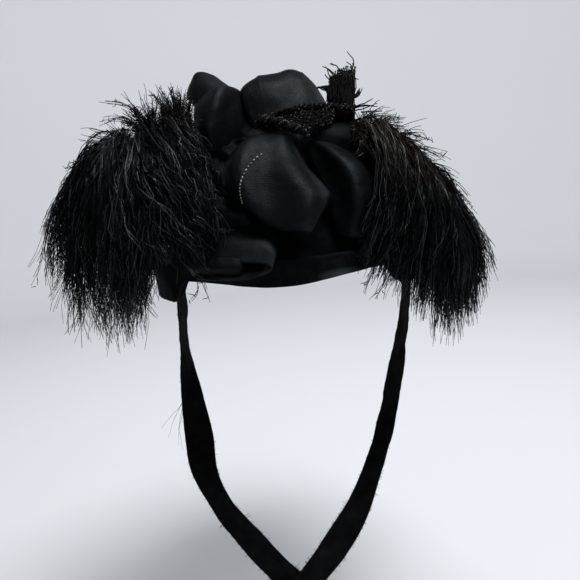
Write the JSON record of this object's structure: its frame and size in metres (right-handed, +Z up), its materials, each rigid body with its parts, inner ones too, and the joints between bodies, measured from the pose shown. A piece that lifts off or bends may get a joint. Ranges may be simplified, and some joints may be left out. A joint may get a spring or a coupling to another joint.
{
  "type": "poke bonnet",
  "caption": "Small hollow velvet bonnet with a turned-up front band, satin ribbon loops, beaded braid, lace tuft, drooping plumes and ribbon ties closed under the chin.",
  "frame": {"origin": "inside top of the crown, where the bonnet sits on the head", "axes": "+Z up, the front faces -Y, +X towards the wearer's left"},
  "size_m": [0.2607, 0.2116, 0.3374],
  "materials": {
    "silk_velvet": "black silk velvet, matt with a soft nap",
    "satin_ribbon": "black satin-faced ribbon with a fine cross rib",
    "ostrich_feather": "black dyed ostrich barbs, slightly brown with age",
    "jet_beads": "glossy black beads on a braid",
    "jet_lace": "black beaded net, frayed",
    "velvet_ribbon": "black velvet ribbon with a worn edge"
  },
  "bodies": {
    "root": {"crown": "silk_velvet", "brim": "silk_velvet", "bow_centre": "satin_ribbon", "loop_left": "satin_ribbon", "loop_top": "satin_ribbon", "loop_front": "satin_ribbon", "loop_right": "satin_ribbon", "loop_right_upper": "satin_ribbon", "fold_left": "satin_ribbon", "loop_low_left": "satin_ribbon", "jet_braid_upper": "jet_beads", "jet_braid_lower": "jet_beads", "jet_lace": "jet_lace", "aigrette": "jet_lace", "plume_left": "ostrich_feather", "plume_right": "ostrich_feather", "tie_left": "velvet_ribbon", "tie_right": "velvet_ribbon"}
  },
  "joints": []
}
